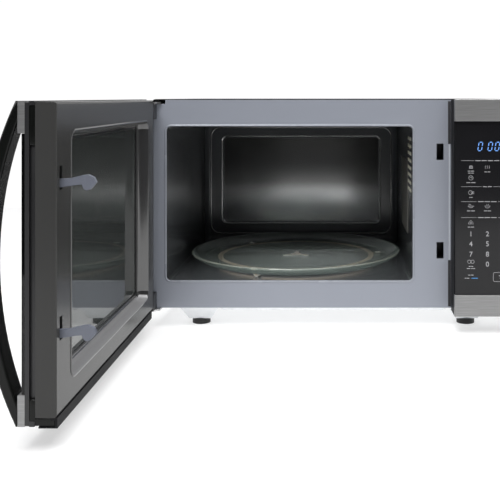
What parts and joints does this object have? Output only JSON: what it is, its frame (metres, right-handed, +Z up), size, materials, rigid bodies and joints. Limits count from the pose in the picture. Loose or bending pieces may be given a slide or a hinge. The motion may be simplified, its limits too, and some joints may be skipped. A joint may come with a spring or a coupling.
{
  "type": "microwave oven",
  "caption": "Countertop microwave oven with a side-hinged glass door, a glass turntable and a touch control panel on the right.",
  "frame": {"origin": "centre of the four feet, on the surface that the oven stands on", "axes": "+X to the right seen from the front, -Y out of the front, +Z up; the door stands open by 90 degrees at rest"},
  "size_m": [0.5847, 0.8205, 0.326],
  "materials": {
    "cover_paint": "satin dark grey paint",
    "galvanised": "galvanised steel",
    "frame_enamel": "blue-grey enamel",
    "cavity_enamel": "dark grey enamel",
    "mica": "matte mica sheet",
    "black_plastic": "fine matte moulding",
    "dark_plastic": "semi-gloss moulding",
    "grey_plastic": "smooth moulding",
    "white_plastic": "smooth moulding",
    "tan_plastic": "smooth heat-proof moulding",
    "trim_steel": "brushed dark stainless steel",
    "bright_steel": "zinc plated",
    "black_glass": "printed black glass",
    "smoked_glass": "smoked glass",
    "tray_glass": "clear greenish glass",
    "bulb_glass": "clear bulb",
    "screen_steel": "black perforated sheet",
    "copper": "copper",
    "fin_aluminium": "mill finish",
    "ferrite": "matte ferrite",
    "core_steel": "laminated steel with varnish",
    "board": "printed circuit board"
  },
  "bodies": {
    "cabinet": {"outer_cover": "cover_paint", "rear_panel": "galvanised", "base_plate": "galvanised", "front_frame": "frame_enamel", "cavity": "cavity_enamel", "waveguide_cover": "mica", "feet": "black_plastic", "case_screws": "bright_steel", "hinge_plates": "bright_steel", "hinge_pins": "bright_steel", "cord_bushing": "black_plastic", "waveguide": "galvanised", "magnetron_yoke": "galvanised", "magnetron_magnets": "ferrite", "magnetron_anode": "copper", "magnetron_fins": "fin_aluminium", "magnetron_filter_box": "galvanised", "transformer_core": "core_steel", "transformer_windings": "copper", "hv_capacitor": "fin_aluminium", "capacitor_strap": "galvanised", "hv_diode": "black_plastic", "fan_shroud": "galvanised", "fan_motor": "core_steel", "air_duct": "white_plastic", "lamp_holder": "galvanised", "oven_lamp": "bulb_glass", "thermostats": "fin_aluminium", "filter_board": "board", "fuse_link": "white_plastic", "latch_board": "white_plastic", "door_switches": "black_plastic", "turntable_motor": "bright_steel", "panel_housing": "black_plastic", "panel_bands": "trim_steel", "control_glass": "black_glass", "display_module": "dark_plastic", "control_board": "board", "board_parts": "black_plastic"},
    "door": {"inner_cover": "dark_plastic", "inner_glass": "smoked_glass", "door_screen": "screen_steel", "door_frame": "cover_paint", "outer_frame": "black_plastic", "hinge_blocks": "black_plastic", "door_glass": "black_glass", "door_bands": "trim_steel", "door_handle": "black_plastic", "handle_screws": "bright_steel", "bottom_trim": "black_plastic", "latch_spring": "bright_steel"},
    "latch": {"latch_slide": "grey_plastic"},
    "turntable": {"glass_tray": "tray_glass"},
    "drive": {"drive_shaft": "white_plastic", "tray_coupler": "white_plastic"},
    "ring": {"roller_ring": "tan_plastic"},
    "wheel_1": {"roller_1": "white_plastic"},
    "wheel_2": {"roller_2": "white_plastic"},
    "wheel_3": {"roller_3": "white_plastic"},
    "fan": {"fan_blade": "white_plastic"}
  },
  "joints": [
    {"name": "door_hinge", "type": "hinge", "parent": "cabinet", "child": "door", "pos_m": [-0.255, -0.2015, 0.1755], "axis": [0, 0, 1], "range_deg": [-10, 90]},
    {"name": "latch_lift", "type": "slide", "parent": "door", "child": "latch", "axis": [0, 0, 1], "range_m": [0, 0.005], "stiffness_N_per_m": 300, "springref_m": -0.004, "deforming": ["latch_spring"]},
    {"name": "tray_spin", "type": "hinge", "parent": "cabinet", "child": "turntable", "pos_m": [-0.0625, -0.0164, 0.072], "axis": [0, 0, 1], "continuous": true},
    {"name": "drive_spin", "type": "hinge", "parent": "cabinet", "child": "drive", "pos_m": [-0.0625, -0.0164, 0.06], "axis": [0, 0, 1], "continuous": true},
    {"name": "ring_spin", "type": "hinge", "parent": "cabinet", "child": "ring", "pos_m": [-0.0625, -0.0164, 0.066], "axis": [0, 0, 1], "continuous": true},
    {"name": "roller_1_spin", "type": "hinge", "parent": "ring", "child": "wheel_1", "pos_m": [0.07208, 0.00251, 0.0668], "axis": [0.9903, 0.1392, 0], "continuous": true},
    {"name": "roller_2_spin", "type": "hinge", "parent": "ring", "child": "wheel_2", "pos_m": [-0.14617, 0.09069, 0.0668], "axis": [-0.6157, 0.788, 0], "continuous": true},
    {"name": "roller_3_spin", "type": "hinge", "parent": "ring", "child": "wheel_3", "pos_m": [-0.11341, -0.1424, 0.0668], "axis": [-0.3746, -0.9272, 0], "continuous": true},
    {"name": "fan_spin", "type": "hinge", "parent": "cabinet", "child": "fan", "pos_m": [0.1869, 0.16, 0.20965], "axis": [0, 1, 0], "continuous": true}
  ],
  "couplings": [
    {"joint": "drive_spin", "follows": "tray_spin", "ratio": 1},
    {"joint": "ring_spin", "follows": "tray_spin", "ratio": 0.5},
    {"joint": "roller_1_spin", "follows": "tray_spin", "ratio": -13.59},
    {"joint": "roller_2_spin", "follows": "tray_spin", "ratio": -13.59},
    {"joint": "roller_3_spin", "follows": "tray_spin", "ratio": -13.59}
  ]
}
